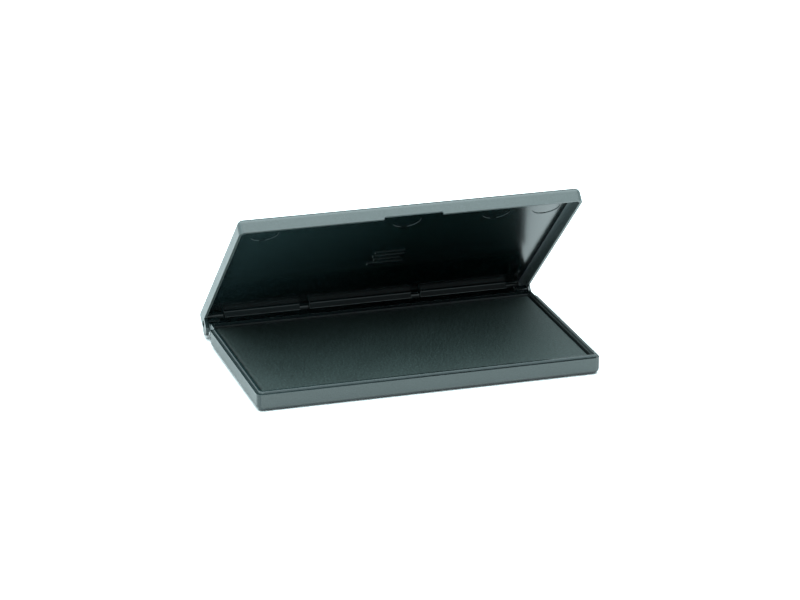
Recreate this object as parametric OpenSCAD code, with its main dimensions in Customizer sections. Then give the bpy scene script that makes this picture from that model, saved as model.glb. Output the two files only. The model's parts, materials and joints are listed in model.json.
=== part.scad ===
// Ink pad in a hinged plastic case. Millimetres, +Z up, +Y to the back.
// The origin is on the underside, at the centre of the closed case's footprint.

/* [Case] */
// Width of the case, left to right
case_w = 168; // [160:1:180]
// Depth of the closed case, front to back
case_d = 110; // [108:1:120]
// Height of the closed case
case_h = 16; // [15:0.5:18]
// Radius of the lid's outer corners and edges
edge_r = 2.7; // [1.6:0.1:2.7]
// Radius of the base's outer corners and of its bottom edges
base_r = 3; // [2.4:0.1:3.2]
// Height of the base's outer rim, where the lid lands
rim_z = 8.5; // [8:0.1:9]

/* [Base] */
// Thickness of the base's floor
floor_t = 1.6; // [1.2:0.1:2]
// Width of the rim's outer ledge
ledge_w = 1.4; // [1.2:0.1:1.6]
// Thickness of the raised inner lip
lip_t = 1; // [0.8:0.1:1]
// Height of the lip above the ledge
lip_h = 1.2; // [0.8:0.1:1.5]
// Height of the step under the rear ledge
undercut_z = 4.3; // [3.5:0.1:4.6]

/* [Lid] */
// Wall thickness of the lid
lid_wall = 1.25; // [1:0.05:1.3]
// Thickness of the lid's top
lid_top_t = 2; // [1.2:0.1:2.2]
// Radius inside the lid's corners, and round its ceiling
lid_fillet = 2; // [1.6:0.1:2.2]
// Angle that the lid stands open, from closed
lid_open = 42.3; // [0:0.1:100]
// Width of the finger notch in the front rim
notch_w = 29; // [20:1:36]
// Height of the finger notch
notch_h = 1.3; // [0.8:0.1:2]

/* [Hinge] */
// Distance of the pivot in front of the lid's rear face
pivot_inset = 6.2; // [6:0.1:6.4]
// Height of the pivot above the table
pivot_z = 7.3; // [7.2:0.1:7.5]
// Radius of the trunnions
trunnion_r = 1.55; // [1.3:0.05:1.7]
// Thickness of the lid's ears
ear_t = 1.5; // [1.3:0.1:1.6]
// Width of the lid's ears, front to back
ear_w = 6.8; // [6.4:0.1:6.8]

/* [Pad] */
// Width of the inked pad
pad_w = 160; // [150:1:160]
// Depth of the inked pad
pad_d = 90; // [85:1:90]
// Height of the pad's face above the table
pad_top_z = 8; // [7.8:0.1:8.2]
// Thickness of the cloth
cloth_t = 0.5; // [0.4:0.1:0.6]

/* [Hidden] */
$fn = 48;
eps = 0.01;

// Clearances
lid_gap = 0.1;
ear_gap = 0.3;
running_gap = 0.05;
carrier_gap = 0.2;

// Levels and planes of the case
front_y = -case_d / 2;
rear_y = case_d / 2;
lip_z = rim_z + lip_h;
lid_rim_z = rim_z + lid_gap;
ceiling_z = case_h - lid_top_t;
pivot_y = rear_y - pivot_inset;

// Pad well: the pad, its carrier and the gaps round them
carrier_t = 0.6;
carrier_floor_t = 0.8;
carrier_rim_z = 8.5;
pad_gap = 0.8;
well_margin = pad_gap + carrier_t + carrier_gap;
well_w = pad_w + 2 * well_margin;
well_d = pad_d + 2 * well_margin;
well_front_y = front_y + ledge_w + lip_t;
pad_y = well_front_y + well_d / 2;
well_rear_y = well_front_y + well_d;

// Rear of the base
base_rear_y = pivot_y + 2.2;
step_y = well_rear_y + 1.4;
step_r = 2;
rib_pitch = 13;
rib_t = 1.4;
rib_count = 11;
pocket_wall = 1.5;
notch_depth = ear_t + ear_gap;
notch_y = well_rear_y - 6.6;
flare_r = 2.2;

// Hinge lugs
lug_w = 6;
lug_r = 2.4;
cheek_x = case_w / 2 - notch_depth;
trunnion_l = 1.1;

// Lid's rear wall, the thicker rails inside it, and the ears
skin_z = 7.6;
rail_z = 10;
rail_t = 1.6;
rail_edge_r = 1.2;
rail_end_r = 1.2;
rail_fillet = 0.8;
rail_ends = [-72, -33.5, -28.5, 24, 29, 74];
ear_tip_r = ear_w / 2;
ear_tip_z = 4.5;

// Marks on the lid's ceiling
mark_xs = [-68, 1.5, 46, 71];
mark_r = 6.8;
mark_y = front_y + 17;
mark_depth = 0.25;
bar_pos = [1, -3.6];
bar_lengths = [15, 16, 13, 18];
bar_w = 1.6;
bar_pitch = 4.2;
bar_h = 0.4;

// Layers of the pad, from the carrier's floor up
turn_t = 0.4;
turn_w = 10;
board_t = 1.5;
top_felt_t = 1.2;
pad_r = 1.5;
tape_size = [110, 12];
tape_y = 18;
pad_base_z = floor_t + carrier_floor_t;
board_z = pad_base_z + turn_t;
felt_z = board_z + board_t;
top_felt_z = pad_top_z - cloth_t - top_felt_t;
felt_w = pad_w - 2 * cloth_t;
felt_d = pad_d - 2 * cloth_t;

// Flat rectangle with round corners, centred
module round_rect(w, d, r) {
    square([w - 2 * r, d], center = true);
    square([w, d - 2 * r], center = true);
    for (sx = [-1, 1], sy = [-1, 1])
        translate([sx * (w / 2 - r), sy * (d / 2 - r)]) circle(r);
}

// Outline of a moulded edge: a strip whose lower outer corner is round
module edge_profile(h, r) {
    translate([0, r]) square([r, h - r]);
    intersection() {
        translate([0, r]) circle(r);
        square([r, h]);
    }
}

// Box with round upright corners and a round bottom edge, standing on z = 0
module soft_box(w, d, h, r) {
    translate([r - w / 2, r - d / 2, 0]) cube([w - 2 * r, d - 2 * r, h]);
    for (i = [0:3]) {
        reach = (i % 2 == 0 ? w : d) / 2 - r;
        span = (i % 2 == 0 ? d : w) - 2 * r;
        rotate(90 * i) translate([reach, span / 2, 0]) {
            rotate([90, 0, 0]) linear_extrude(span) edge_profile(h, r);
            rotate_extrude(angle = 90) edge_profile(h, r);
        }
    }
}

// Solid along X from an outline drawn in Y and Z
module along_x(x0, x1) {
    translate([x0, 0, 0]) rotate([90, 0, 90]) linear_extrude(x1 - x0) children();
}

// Children on the right, and their mirror image on the left
module both_sides() {
    children();
    mirror([1, 0, 0]) children();
}

// Everything above the ledge and outside the lip
module ledge_cut() {
    difference() {
        translate([-case_w, -case_d, rim_z]) cube([2 * case_w, 2 * case_d, 10]);
        translate([0, pad_y, 0]) linear_extrude(case_h)
            round_rect(well_w + 2 * lip_t, well_d + 2 * lip_t, lid_fillet - running_gap);
    }
}

// The step under the rear ledge, with a hollow corner
module undercut() {
    along_x(-case_w, case_w) {
        translate([step_y + step_r, -1]) square([20, undercut_z + 1]);
        translate([step_y, -1]) square([20, undercut_z + 1 - step_r]);
        translate([step_y + step_r, undercut_z - step_r]) circle(step_r);
    }
}

// Room for an ear beside the rear corner; the outer wall ends in a hollow flare
module ear_room() {
    along_x(cheek_x, case_w) difference() {
        translate([notch_y, -1]) square([60, 30]);
        translate([notch_y, rim_z - flare_r]) difference() {
            square(flare_r);
            translate([flare_r, 0]) circle(flare_r);
        }
    }
}

// Pockets between the ribs under the rear ledge
module rib_pockets() {
    for (i = [0:rib_count - 1])
        translate([(i - (rib_count - 1) / 2) * rib_pitch - (rib_pitch - rib_t) / 2,
                   step_y + pocket_wall, undercut_z - 1])
            cube([rib_pitch - rib_t, base_rear_y - step_y - 2 * pocket_wall,
                  rim_z - floor_t - undercut_z + 1]);
}

// Round lug and the trunnion that the lid turns on
module hinge_lug() {
    translate([cheek_x - lug_w, pivot_y, pivot_z]) rotate([0, 90, 0])
        cylinder(r = lug_r, h = lug_w);
    translate([cheek_x - eps, pivot_y, pivot_z]) rotate([0, 90, 0])
        cylinder(r = trunnion_r, h = trunnion_l + eps);
}

module base_tray() color([0.20, 0.23, 0.23]) {
    difference() {
        translate([0, (front_y + base_rear_y) / 2, 0])
            soft_box(case_w, base_rear_y - front_y, lip_z, base_r);
        ledge_cut();
        translate([0, pad_y, floor_t]) linear_extrude(case_h) round_rect(well_w, well_d, 1);
        undercut();
        both_sides() ear_room();
        rib_pockets();
    }
    both_sides() hinge_lug();
}

// Ear on the right: a tab with a round end that hangs beside the base
module ear() {
    along_x(case_w / 2 - ear_t, case_w / 2) {
        translate([pivot_y - ear_tip_r, ear_tip_z]) square([ear_w, lid_rim_z + 2 - ear_tip_z]);
        translate([pivot_y, ear_tip_z]) circle(ear_tip_r);
    }
}

module lid_shell() {
    difference() {
        translate([0, 0, case_h]) mirror([0, 0, 1])
            soft_box(case_w, case_d, case_h - lid_rim_z, edge_r);
        translate([0, 0, ceiling_z]) mirror([0, 0, 1])
            soft_box(case_w - 2 * lid_wall, case_d - 2 * lid_wall, case_h, lid_fillet);
    }
}

// Rear wall's lower edge, which hangs behind the base
module rear_skin() {
    translate([ear_t - case_w / 2, rear_y - lid_wall, skin_z])
        cube([case_w - 2 * ear_t, lid_wall, lid_rim_z - skin_z + 1]);
}

// Outline of a rail: round lower edge, and a hollow fillet up to the ceiling
module rail_profile() {
    rail_h = ceiling_z + eps - rail_z;
    translate([0, rail_edge_r]) square([rail_t + eps, rail_h - rail_edge_r]);
    translate([rail_edge_r, 0]) square([rail_t + eps - rail_edge_r, rail_h]);
    translate([rail_edge_r, rail_edge_r]) circle(rail_edge_r);
    translate([-rail_fillet, rail_h - rail_fillet]) difference() {
        square([rail_fillet + eps, rail_fillet]);
        circle(rail_fillet);
    }
}

// Thicker rails along the inside of the rear wall, with round ends at their two gaps
module rails() {
    for (i = [0:2:len(rail_ends) - 2]) {
        x0 = rail_ends[i];
        x1 = rail_ends[i + 1];
        depth = rail_t + rail_fillet;
        intersection() {
            along_x(x0, x1) translate([rear_y - lid_wall - rail_t, rail_z]) rail_profile();
            translate([(x0 + x1) / 2, rear_y - lid_wall, 0])
                linear_extrude(case_h) round_rect(x1 - x0, 2 * depth, rail_end_r);
        }
    }
}

// Shallow round marks that the mould's ejector pins leave
module ejector_marks() {
    for (x = mark_xs) translate([x, mark_y, ceiling_z - eps])
        cylinder(r = mark_r, h = mark_depth + eps);
}

// Plain raised bars, with a longer one beneath them
module raised_bars() {
    for (i = [0:len(bar_lengths) - 1])
        translate([bar_pos[0] - bar_lengths[i] / 2, bar_pos[1] + i * bar_pitch, ceiling_z - bar_h])
            cube([bar_lengths[i], bar_w, bar_h + eps]);
}

module lid_closed() {
    difference() {
        union() {
            lid_shell();
            rear_skin();
            rails();
            both_sides() ear();
        }
        translate([0, front_y, lid_rim_z]) rotate([90, 0, 0])
            linear_extrude(6, center = true) round_rect(notch_w, 2 * notch_h, notch_h - 0.3);
        translate([-case_w, pivot_y, pivot_z]) rotate([0, 90, 0])
            cylinder(r = trunnion_r + running_gap, h = 2 * case_w);
        ejector_marks();
    }
    raised_bars();
}

module lid() color([0.22, 0.25, 0.25])
    translate([0, pivot_y, pivot_z]) rotate([-lid_open, 0, 0])
        translate([0, -pivot_y, -pivot_z]) lid_closed();

// Sheet or layer of the pad, standing on its own level
module layer(w, d, z, h) {
    translate([0, pad_y, z]) linear_extrude(h) round_rect(w, d, pad_r);
}

module pad_carrier() color([0.30, 0.33, 0.33]) {
    outer_w = pad_w + 2 * (pad_gap + carrier_t);
    outer_d = pad_d + 2 * (pad_gap + carrier_t);
    difference() {
        layer(outer_w, outer_d, floor_t, carrier_rim_z - floor_t);
        layer(outer_w - 2 * carrier_t, outer_d - 2 * carrier_t, pad_base_z, case_h);
    }
}

module mounting_tape() color([0.85, 0.83, 0.75])
    for (side = [-1, 1])
        translate([-tape_size[0] / 2, pad_y + side * tape_y - tape_size[1] / 2, pad_base_z])
            cube([tape_size[0], tape_size[1], turn_t]);

module backing_board() color([0.45, 0.33, 0.22]) layer(felt_w, felt_d, board_z, board_t);

module ink_felt() color([0.10, 0.11, 0.12])
    layer(felt_w, felt_d, felt_z, top_felt_z - felt_z);

module top_felt() color([0.12, 0.13, 0.14]) layer(felt_w, felt_d, top_felt_z, top_felt_t);

// Cloth over the top and sides, with its edges turned under the board
module pad_cloth() color([0.17, 0.22, 0.22])
    difference() {
        layer(pad_w, pad_d, pad_base_z, pad_top_z - pad_base_z);
        layer(felt_w, felt_d, board_z, pad_top_z - cloth_t - board_z);
        layer(felt_w - 2 * turn_w, felt_d - 2 * turn_w, pad_base_z - 1, turn_t + 1 + eps);
    }

base_tray();
lid();
pad_carrier();
mounting_tape();
backing_board();
ink_felt();
top_felt();
pad_cloth();
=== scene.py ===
"""Ink pad in a hinged plastic case: finished pieces, materials, light and camera round the CAD frame.

Metres, +Z up, +Y to the back. The origin is on the underside, at the centre of the closed case.
"""

import json
import math

import bmesh
import bpy
from mathutils import Matrix, Vector


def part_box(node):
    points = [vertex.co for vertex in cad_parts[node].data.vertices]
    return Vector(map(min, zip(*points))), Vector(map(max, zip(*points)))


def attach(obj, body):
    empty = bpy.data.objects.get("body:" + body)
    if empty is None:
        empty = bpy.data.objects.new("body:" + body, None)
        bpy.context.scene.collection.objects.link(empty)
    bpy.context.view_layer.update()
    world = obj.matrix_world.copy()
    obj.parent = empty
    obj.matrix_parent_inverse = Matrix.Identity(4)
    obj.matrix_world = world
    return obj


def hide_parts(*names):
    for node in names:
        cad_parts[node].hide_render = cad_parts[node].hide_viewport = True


MM = 0.001
WELD = 0.001 * MM

# Camera: its turn round the object, its angle above the table, its distance, its aim and its lens
VIEW_AZIMUTH = math.radians(-17.13)
VIEW_ELEVATION = math.radians(19.78)
VIEW_DISTANCE = 1.552
VIEW_TARGET = Vector((0.0013, 0.0, 0.0273))
LENS_MM = 145.7

# Studio: a large soft light overhead and a dimmer room, both slightly cool, over a white table
COOL_WHITE = (0.80, 0.97, 1.0)
OVERHEAD_SIZE = 2.4
OVERHEAD_HEIGHT = 1.5
OVERHEAD_RADIANCE = 5.0
ROOM_RADIANCE = 1.0
TABLE_RADIUS = 12.0
TABLE_WHITE = 0.95

# Two faces that meet at more than SHARP_ANGLE make a corner, and at less than FLAT_ANGLE one face
SHARP_ANGLE = math.radians(30)
FLAT_ANGLE = math.radians(0.5)

# Limits on one part of a face's normal, which is 1 where the face looks straight along that axis
POINTS = 0.9
UPRIGHT = 0.5
LEANS_ASIDE = 0.2
LEANS_DOWN = 0.3

# Rounding of the edges
MOULD_EDGE = 0.14 * MM
CARRIER_EDGE = 0.12 * MM
TAPE_EDGE = 0.08 * MM
BOARD_EDGE = 0.15 * MM
FELT_EDGE = 0.3 * MM

# The case's finishes: grained outside, polished inside, scuffed where the mould was drawn off, on a
# paler tone that is painted light
GRAINED, POLISHED, SCUFFED_PAINTED_LIT = 0, 1, 2

# Case: outer skin, lip round the well, top of the lid, and the drop from its ceiling to rails and rim
SKIN_DEPTH = 0.3 * MM
LIP_H = 1.2 * MM
LID_TOP_T = 2.0 * MM
RAIL_DROP = 3 * MM
RIM_DROP = 5 * MM

# Round marks in the lid's ceiling: depth, longest facet of an arc, and least distance from the hinge
MARK_DEPTH = 0.25 * MM
MARK_FACET = 2 * MM
MARKS_TO_HINGE = 20 * MM

# Pad
SHEET_CORNER = 1.5 * MM
CARRIER_WALL = 0.6 * MM
CARRIER_FLOOR = 0.8 * MM
STRIP_W = 12 * MM
CLOTH_T = 0.5 * MM
CLOTH_CELL = 2.0 * MM
SHOULDER = 1.1 * MM
TURN_UNDER = 10 * MM
PAD_CROWN = 0.45 * MM
SWELL_FRAMES = 20
SWELL_PRESSURE = 4.0

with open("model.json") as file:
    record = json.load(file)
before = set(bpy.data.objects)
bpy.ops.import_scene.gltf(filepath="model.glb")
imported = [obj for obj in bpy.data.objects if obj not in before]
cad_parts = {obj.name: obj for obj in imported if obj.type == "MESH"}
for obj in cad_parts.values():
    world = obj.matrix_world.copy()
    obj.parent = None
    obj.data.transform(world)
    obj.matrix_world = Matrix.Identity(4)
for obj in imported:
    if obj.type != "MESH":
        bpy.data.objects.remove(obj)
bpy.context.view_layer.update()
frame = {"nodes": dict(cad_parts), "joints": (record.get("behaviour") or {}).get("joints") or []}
hinge = frame["joints"][0]
pivot = Vector(hinge["pos_m"])

# Turn about the hinge that shuts the lid, from the pose at rest
turn = Matrix.Rotation(math.radians(hinge["range_deg"][0]), 4, Vector(hinge["axis"]))
CLOSED = Matrix.Translation(pivot) @ turn @ Matrix.Translation(-pivot)


# ---------------------------------------------------------------- materials


class Wire:
    """An output of a material's nodes. Arithmetic on it adds Math nodes."""

    def __init__(self, finish, socket):
        self.finish = finish
        self.socket = socket

    def math(self, operation, first, second):
        return self.finish.node("Math", {"operation": operation}, {0: first, 1: second})

    def __add__(self, other):
        return self.math("ADD", self, other)

    def __sub__(self, other):
        return self.math("SUBTRACT", self, other)

    def __rsub__(self, other):
        return self.math("SUBTRACT", other, self)

    def __mul__(self, other):
        return self.math("MULTIPLY", self, other)

    def __abs__(self):
        return self.finish.node("Math", {"operation": "ABSOLUTE"}, {0: self})

    __radd__ = __add__
    __rmul__ = __mul__


class Finish:
    """A material in the making: a Principled shader and the nodes that feed it."""

    def __init__(self, name, sockets=None):
        self.material = bpy.data.materials.new(name)
        self.material.use_nodes = True
        self.tree = self.material.node_tree
        self.shader = self.tree.nodes["Principled BSDF"]
        self.place = self.node("TexCoord", output="Object")
        self.set(sockets or {})

    def node(self, kind, settings=None, inputs=None, output=0):
        made = self.tree.nodes.new("ShaderNode" + kind)
        for key, value in (settings or {}).items():
            if key == "stops":
                self.set_stops(made.color_ramp, value)
            else:
                setattr(made, key, value)
        for key, value in (inputs or {}).items():
            self.feed(made.inputs[key], value)
        return Wire(self, made.outputs[output])

    def feed(self, socket, value):
        if isinstance(value, Wire):
            self.tree.links.new(value.socket, socket)
        else:
            socket.default_value = value

    def set(self, sockets):
        """Sets or links the shader's own sockets."""
        for key, value in sockets.items():
            self.feed(self.shader.inputs[key], value)

    @staticmethod
    def set_stops(ramp, stops):
        for element, (position, level) in zip(ramp.elements, stops):
            element.position = position
            element.color = (level, level, level, 1.0)

    def along(self, axis):
        """Place along X, Y or Z, numbered 0, 1 or 2, in metres."""
        return self.node("SeparateXYZ", None, {0: self.place}, output=axis)

    def noise(self, size, detail=2.0, rough=0.5, stretch=(1, 1, 1)):
        """Soft noise from 0 to 1, whose lumps are about size metres across."""
        where = self.node("Mapping", None, {"Vector": self.place, "Scale": stretch})
        return self.node("TexNoise", None, {"Vector": where, "Scale": 1 / size, "Detail": detail,
                                            "Roughness": rough})

    def ramp(self, value, low, high):
        """0 below low, 1 above high, and straight between them."""
        return self.node("ValToRGB", {"stops": [(low, 0.0), (high, 1.0)]}, {0: value})

    def mix(self, factor, first, second):
        return self.node("Mix", {"data_type": "RGBA"}, {0: factor, 6: first, 7: second}, output=2)

    def bump(self, height, depth, strength=1.0):
        """Surface normal of a relief whose full height is depth metres."""
        return self.node("Bump", None, {"Height": height, "Distance": depth, "Strength": strength})


def tone(red, green, blue):
    return (red, green, blue, 1.0)


def grained_plastic():
    """Outside of the case: satin spark-eroded grain, rubbed a little on the edges."""
    f = Finish("grained_plastic")
    grain = f.noise(0.55 * MM, detail=4.0, rough=0.65)
    rubbed = f.ramp(f.noise(14 * MM, detail=4.0), 0.45, 0.75)
    edge = f.node("Attribute", {"attribute_name": "edge_wear_and_highlight"}, output="Fac")
    wear = edge * (0.35 + 0.65 * rubbed)
    hollows = f.mix(rubbed, tone(0.024, 0.031, 0.030), tone(0.030, 0.038, 0.037))
    skin = f.mix(f.ramp(grain, 0.35, 0.65), hollows, tone(0.042, 0.052, 0.051))
    f.set({
        "Base Color": f.mix(wear, skin, tone(0.070, 0.082, 0.083)),
        "Roughness": 0.40 + 0.03 * rubbed + 0.06 * f.noise(4 * MM) - 0.08 * wear,
        "Normal": f.bump(grain, 0.035 * MM, 0.8),
    })
    return f.material


def polished_plastic():
    """Inside of the case: the same plastic from a polished mould, hazier and with painted light
    towards the left end, and painted highlights on its rounded edges.
    """
    f = Finish("polished_plastic")
    cloud = f.noise(40 * MM, detail=3.0, rough=0.5)
    # From 0, 100 mm to the right of the middle, to 1, 100 mm to the left of it
    leftness = 0.5 - f.along(0) * (1 / (200 * MM))
    # Paler tone towards the left end: painted light, along with a slightly rougher surface there
    haze_and_painted_light = f.ramp(leftness, 0.45, 1.0)
    edge = f.node("Attribute", {"attribute_name": "edge_wear_and_highlight"}, output="Fac")
    clean = f.mix(haze_and_painted_light, tone(0.0004, 0.0028, 0.0030), tone(0.0100, 0.0200, 0.0210))
    f.set({
        # Pale tone on the rounded edges: painted highlight, with rougher edges as well
        "Base Color": f.mix(edge, clean, tone(0.165, 0.185, 0.188)),
        "Roughness": 0.14 + 0.06 * cloud + 0.04 * haze_and_painted_light + 0.25 * edge,
        "Normal": f.bump(f.noise(14 * MM), 0.015 * MM, 0.5),
    })
    return f.material


def scuffed_painted_lit_plastic():
    """Upright walls inside the case: a paler tone that is painted light, with fine scuffs from being
    drawn off the mould.
    """
    f = Finish("scuffed_painted_lit_plastic")
    scuffs = f.noise(1.6 * MM, detail=4.0, rough=0.6, stretch=(0.3, 0.3, 2.5))
    cloud = f.noise(18 * MM, detail=3.0)
    f.set({
        # Paler tone than the rest of the inside: painted light on these walls and rail edges
        "Base Color": f.mix(scuffs, tone(0.040, 0.052, 0.053), tone(0.075, 0.090, 0.091)),
        "Roughness": 0.42 + 0.12 * cloud,
        "Normal": f.bump(scuffs, 0.01 * MM, 0.5),
    })
    return f.material


def carrier_plastic():
    """Thin moulded tray under the pad, duller than the outside of the case, and painted blacker as
    shade in the gap round the pad.
    """
    f = Finish("carrier_plastic")
    cloud = f.noise(6 * MM, detail=3.0)
    f.set({
        # Blacker tone: painted shade for the gap round the pad
        "Base Color": f.mix(cloud, tone(0.010, 0.014, 0.014), tone(0.018, 0.023, 0.023)),
        "Roughness": 0.42 + 0.12 * cloud,
        "Normal": f.bump(f.noise(0.4 * MM), 0.01 * MM, 0.5),
    })
    return f.material


def threads(f, pitch):
    """Height of a plain weave whose threads run along X and Y, from 0 to 1."""
    sine_x, sine_y = (
        f.node("Math", {"operation": "SINE"}, {0: f.along(k) * (math.pi / pitch)}) for k in (0, 1))
    over = 0.5 + 0.5 * (sine_x * sine_y)
    return over * abs(sine_x) + (1 - over) * abs(sine_y)


def inked_cloth():
    """Close-woven cotton, damp with black ink: drier, paler specks on the tops of the threads."""
    f = Finish("inked_cloth")
    weave = threads(f, 0.5 * MM)
    slub = f.noise(1.0 * MM, detail=3.0, rough=0.7)
    damp = f.ramp(f.noise(30 * MM, detail=3.0), 0.35, 0.7)
    dry = f.ramp(slub, 0.45, 0.70) * (0.35 + 0.65 * weave)
    wet_tone = f.mix(damp, tone(0.0028, 0.0098, 0.0085), tone(0.0016, 0.0068, 0.0057))
    f.set({
        "Base Color": f.mix(dry, wet_tone, tone(0.033, 0.055, 0.052)),
        "Roughness": 0.60 - 0.08 * damp + 0.12 * slub,
        "Normal": f.bump(0.5 * weave + 1.2 * slub, 0.16 * MM, 0.9),
    })
    return f.material


def wool_felt():
    """Wool felt soaked in ink, with matted fibres."""
    f = Finish("wool_felt", {"Specular IOR Level": 0.3, "Roughness": 0.85})
    fibres = f.noise(0.8 * MM, detail=6.0, rough=0.7, stretch=(1, 2.5, 1))
    f.set({
        "Base Color": f.mix(fibres, tone(0.012, 0.014, 0.017), tone(0.04, 0.043, 0.05)),
        "Normal": f.bump(fibres, 0.2 * MM),
    })
    return f.material


def hardboard():
    """Pressed brown hardboard with short fibres and blotches of soaked-in ink."""
    f = Finish("hardboard", {"Specular IOR Level": 0.4})
    fibres = f.noise(2.5 * MM, detail=6.0, rough=0.7, stretch=(0.5, 1.6, 1))
    stain = f.ramp(f.noise(30 * MM, detail=4.0), 0.55, 0.75)
    wood = f.mix(fibres, tone(0.16, 0.085, 0.04), tone(0.34, 0.21, 0.12))
    f.set({
        "Base Color": f.mix(stain, wood, tone(0.02, 0.018, 0.018)),
        "Roughness": 0.5 + 0.2 * fibres,
        "Normal": f.bump(fibres, 0.05 * MM),
    })
    return f.material


def cloth_tape():
    """Double-sided cloth tape: a cream weave under clear adhesive."""
    f = Finish("cloth_tape", {"Coat Weight": 0.3, "Coat Roughness": 0.2})
    weave = threads(f, 0.6 * MM)
    f.set({
        "Base Color": f.mix(weave, tone(0.55, 0.52, 0.43), tone(0.80, 0.78, 0.70)),
        "Roughness": 0.45 + 0.2 * f.noise(4 * MM),
        "Normal": f.bump(weave, 0.06 * MM),
    })
    return f.material


# ---------------------------------------------------------------- pieces


def add_object(name, data):
    made = bpy.data.objects.new(name, data)
    bpy.context.scene.collection.objects.link(made)
    return made


def add_mesh(name, bm, materials):
    mesh = bpy.data.meshes.new(name)
    bm.to_mesh(mesh)
    bm.free()
    for material in materials:
        mesh.materials.append(material)
    return add_object(name, mesh)


def finished(bm, name, materials, body, node):
    """Makes a piece of the mesh, which rides on its body and stands for its CAD node."""
    piece = add_mesh(name, bm, materials)
    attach(piece, body)
    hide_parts(node)
    return piece


def round_edges(bm, edges, radius, segments):
    """Rounds the edges, and returns the new faces."""
    return bmesh.ops.bevel(
        bm, geom=edges, offset=radius, offset_type="OFFSET", segments=segments,
        profile=0.5, affect="EDGES", clamp_overlap=True, material=-1)["faces"]


def sharp_edges(bm):
    return [e for e in bm.edges if not e.is_boundary and e.calc_face_angle() > SHARP_ANGLE]


def shade_smooth(bm):
    for face in bm.faces:
        face.smooth = True


def even_shading(piece):
    """Normals that keep wide flat faces flat beside their rounded edges."""
    piece.modifiers.new("even_shading", "WEIGHTED_NORMAL").keep_sharp = True


def depth_inside(face, outer_box, opens_down):
    """How far a face lies inside a moulding's outer box, whose open side isn't counted."""
    low, high = outer_box
    centre = face.calc_center_median()
    sides = [min(centre[k] - low[k], high[k] - centre[k]) for k in (0, 1)]
    return min(*sides, high.z - centre.z if opens_down else centre.z - low.z)


def moulding(node, to_closed, finish_of, plain):
    """Copy of a CAD node's mesh with whole flat faces, softened edges and a finish on each face.

    finish_of gives a face's finish, and plain says which edges stay sharp, both once to_closed
    has been applied. The softened edges are marked for the edge wear and the painted edge highlight.
    """
    bm = bmesh.new()
    bm.from_mesh(frame["nodes"][node].data)
    bmesh.ops.remove_doubles(bm, verts=bm.verts, dist=WELD)
    bmesh.ops.transform(bm, matrix=to_closed, verts=bm.verts)
    bmesh.ops.dissolve_limit(bm, angle_limit=FLAT_ANGLE, verts=bm.verts, edges=bm.edges)
    for face in bm.faces:
        face.material_index = finish_of(face)
    edge_wear_and_highlight = bm.faces.layers.float.new("edge_wear_and_highlight")
    for face in round_edges(bm, [e for e in sharp_edges(bm) if not plain(e)], MOULD_EDGE, 3):
        face[edge_wear_and_highlight] = 1.0
    shade_smooth(bm)
    for edge in bm.edges:
        edge.smooth = edge.calc_face_angle() < SHARP_ANGLE
    bmesh.ops.transform(bm, matrix=to_closed.inverted(), verts=bm.verts)
    return bm


def make_tray(materials):
    """Base: grained outside, polished inside, scuffed with painted light on the lip's sides and the
    well's ends.
    """
    outer_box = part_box("base_tray")
    lip_foot = outer_box[1].z - LIP_H

    def finish_of(face):
        if depth_inside(face, outer_box, opens_down=False) < SKIN_DEPTH:
            return GRAINED
        lip_side = abs(face.normal.z) < UPRIGHT and face.calc_center_median().z > lip_foot
        well_wall = abs(face.normal.x) > POINTS
        return SCUFFED_PAINTED_LIT if lip_side or well_wall else POLISHED

    bm = moulding("base_tray", Matrix.Identity(4), finish_of, lambda edge: False)
    piece = finished(bm, "tray_shell", materials, "base", "base_tray")
    even_shading(piece)


def make_lid(materials):
    """Lid: grained outside and on the rim, polished inside, scuffed with painted light on the end
    walls and rails.
    """
    corners = [CLOSED @ v.co for v in frame["nodes"]["lid"].data.vertices]
    outer_box = [Vector([pick(c[k] for c in corners) for k in range(3)]) for pick in (min, max)]
    ceiling = outer_box[1].z - LID_TOP_T

    def finish_of(face):
        height = face.calc_center_median().z
        rim = face.normal.z < -POINTS and height < ceiling - RIM_DROP
        if rim or depth_inside(face, outer_box, opens_down=True) < SKIN_DEPTH:
            return GRAINED
        side_wall = abs(face.normal.x) > LEANS_ASIDE
        rail_edge = face.normal.z < -LEANS_DOWN and height < ceiling - RAIL_DROP
        return SCUFFED_PAINTED_LIT if side_wall or rail_edge else POLISHED

    def in_shallow_mark(edge):
        recessed = all(-WELD < v.co.z - ceiling < MARK_DEPTH + WELD for v in edge.verts)
        in_front = all(v.co.y < pivot.y - MARKS_TO_HINGE for v in edge.verts)
        return recessed and in_front and edge.calc_length() < MARK_FACET

    bm = moulding("lid", CLOSED, finish_of, in_shallow_mark)
    piece = finished(bm, "lid_shell", materials, "lid", "lid")
    even_shading(piece)


def add_block(bm, size, centre):
    cube = bmesh.ops.create_cube(bm, size=1.0)["verts"]
    bmesh.ops.scale(bm, vec=size, verts=cube)
    bmesh.ops.translate(bm, vec=centre, verts=cube)


def blank(node):
    """Block that fills a CAD node's box, with round corners seen from above."""
    low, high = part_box(node)
    bm = bmesh.new()
    add_block(bm, high - low, (low + high) / 2)
    upright = [e for e in bm.edges if abs(e.verts[0].co.z - e.verts[1].co.z) > WELD]
    round_edges(bm, upright, SHEET_CORNER, 6)
    return bm


def soften(bm, radius):
    round_edges(bm, sharp_edges(bm), radius, 2)
    shade_smooth(bm)


def make_sheet(node, name, material, edge):
    """One flat layer of the pad."""
    bm = blank(node)
    soften(bm, edge)
    piece = finished(bm, name, [material], "base", node)
    even_shading(piece)


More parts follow.
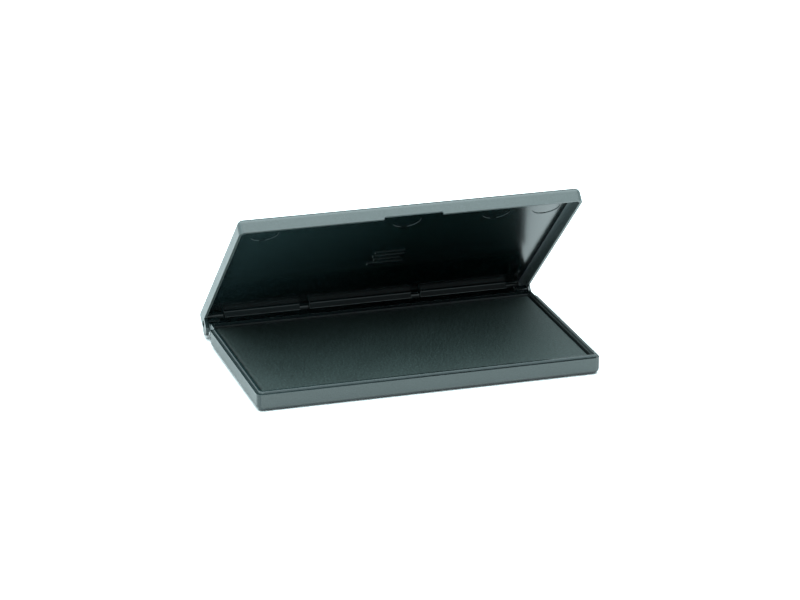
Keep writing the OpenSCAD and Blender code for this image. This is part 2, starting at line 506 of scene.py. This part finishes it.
def make_carrier(material):
    """Thin open tray: a blank whose top is inset and pushed down to the floor."""
    low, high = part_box("pad_carrier")
    bm = blank("pad_carrier")
    top = [f for f in bm.faces if f.normal.z > POINTS]
    bmesh.ops.inset_region(bm, faces=top, thickness=CARRIER_WALL, use_even_offset=True)
    pushed = bmesh.ops.extrude_discrete_faces(bm, faces=top)["faces"][0]
    bmesh.ops.translate(bm, vec=(0, 0, low.z + CARRIER_FLOOR - high.z), verts=pushed.verts)
    soften(bm, CARRIER_EDGE)
    piece = finished(bm, "carrier_tray", [material], "base", "pad_carrier")
    even_shading(piece)


def make_tape(material):
    """Two strips along the front and the back of the CAD node's box."""
    low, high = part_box("mounting_tape")
    bm = bmesh.new()
    for y in (low.y + STRIP_W / 2, high.y - STRIP_W / 2):
        add_block(bm, (high.x - low.x, STRIP_W, high.z - low.z), (0, y, (low.z + high.z) / 2))
    round_edges(bm, list(bm.edges), TAPE_EDGE, 2)
    finished(bm, "tape_strips", [material], "base", "mounting_tape")


def extend_border(bm):
    """Doubles a sheet's open border in place, joined by new faces, and returns the new vertices."""
    border = [e for e in bm.edges if e.is_boundary]
    made = bmesh.ops.extrude_edge_only(bm, edges=border)["geom"]
    return [g for g in made if isinstance(g, bmesh.types.BMVert)]


def cover_sheet():
    """Cloth over the felts: a top sheet whose border is drawn down and turned in underneath."""
    low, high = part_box("pad_cloth")
    size = high - low
    centre = (low + high) / 2
    bm = bmesh.new()
    bmesh.ops.create_grid(bm, x_segments=round(size.x / CLOTH_CELL),
                          y_segments=round(size.y / CLOTH_CELL), size=0.5)
    bmesh.ops.scale(bm, vec=(size.x, size.y, 1), verts=bm.verts)
    bmesh.ops.translate(bm, vec=(centre.x, centre.y, high.z), verts=bm.verts)
    bmesh.ops.translate(bm, vec=(0, 0, -size.z), verts=extend_border(bm))
    for vert in extend_border(bm):
        for k in (0, 1):
            away = vert.co[k] - centre[k]
            reach = min(abs(away), size[k] / 2 - TURN_UNDER)
            vert.co[k] = centre[k] + math.copysign(reach, away)
    bmesh.ops.recalc_face_normals(bm, faces=bm.faces)
    round_edges(bm, sharp_edges(bm), SHOULDER, 4)
    return bm


def swell(piece, top):
    """Lets the ink swell the pad: its top rises under pressure, by less than PAD_CROWN."""
    rest = [v.co.copy() for v in piece.data.vertices]
    held = piece.vertex_groups.new(name="held")
    held.add([k for k, place in enumerate(rest) if place.z < top - WELD], 1.0, "REPLACE")
    cloth = piece.modifiers.new("swell", "CLOTH")
    cloth.settings.vertex_group_mass = "held"
    cloth.settings.use_pressure = True
    cloth.settings.uniform_pressure_force = SWELL_PRESSURE
    cloth.settings.effector_weights.gravity = 0
    scene = bpy.context.scene
    for step in range(1, SWELL_FRAMES + 1):
        scene.frame_set(step)
    swollen = piece.evaluated_get(bpy.context.evaluated_depsgraph_get()).data
    rises = [moved.co.z - place.z for moved, place in zip(swollen.vertices, rest)]
    piece.modifiers.remove(cloth)
    scene.frame_set(1)
    for vert, place, rise in zip(piece.data.vertices, rest, rises):
        vert.co.z = place.z + PAD_CROWN * math.tanh(max(rise, 0) / PAD_CROWN)
    piece.vertex_groups.remove(held)


def make_cover(material):
    """Inked cloth cover, swollen, with its thickness laid on inwards."""
    bm = cover_sheet()
    shade_smooth(bm)
    piece = finished(bm, "inked_cover", [material], "base", "pad_cloth")
    swell(piece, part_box("pad_cloth")[1].z)
    thick = piece.modifiers.new("cloth_thickness", "SOLIDIFY")
    thick.thickness = CLOTH_T
    thick.offset = -1


# ---------------------------------------------------------------- studio


def make_table():
    """Plain white table."""
    bm = bmesh.new()
    bmesh.ops.create_circle(bm, cap_ends=True, segments=64, radius=TABLE_RADIUS)
    white = Finish("table_white", {"Base Color": tone(TABLE_WHITE, TABLE_WHITE, TABLE_WHITE),
                                   "Roughness": 1.0, "Specular IOR Level": 0.0})
    table = add_mesh("table", bm, [white.material])


def make_lights():
    """A wide soft light overhead, and an even room round it."""
    world = bpy.data.worlds.new("room")
    world.use_nodes = True
    sky = world.node_tree.nodes["Background"]
    sky.inputs["Color"].default_value = (*COOL_WHITE, 1.0)
    sky.inputs["Strength"].default_value = ROOM_RADIANCE
    bpy.context.scene.world = world
    light = bpy.data.lights.new("overhead", "AREA")
    light.size = OVERHEAD_SIZE
    light.color = COOL_WHITE
    light.energy = OVERHEAD_RADIANCE * math.pi * OVERHEAD_SIZE ** 2
    add_object("overhead", light).location.z = OVERHEAD_HEIGHT


def make_camera():
    """Camera that looks at VIEW_TARGET, and a picture that shows the tones as they are."""
    away = Vector((math.sin(VIEW_AZIMUTH) * math.cos(VIEW_ELEVATION),
                   -math.cos(VIEW_AZIMUTH) * math.cos(VIEW_ELEVATION),
                   math.sin(VIEW_ELEVATION)))
    data = bpy.data.cameras.new("camera")
    data.lens = LENS_MM
    camera = add_object("camera", data)
    camera.location = VIEW_TARGET + VIEW_DISTANCE * away
    camera.rotation_euler = away.to_track_quat("Z", "Y").to_euler()
    bpy.context.scene.camera = camera
    bpy.context.scene.view_settings.view_transform = "Standard"


make_camera()
make_lights()
make_table()
case = [grained_plastic(), polished_plastic(), scuffed_painted_lit_plastic()]
felt = wool_felt()
make_tray(case)
make_lid(case)
make_carrier(carrier_plastic())
make_tape(cloth_tape())
make_sheet("backing_board", "pad_board", hardboard(), BOARD_EDGE)
make_sheet("ink_felt", "ink_reservoir", felt, FELT_EDGE)
make_sheet("top_felt", "surface_felt", felt, FELT_EDGE)
make_cover(inked_cloth())
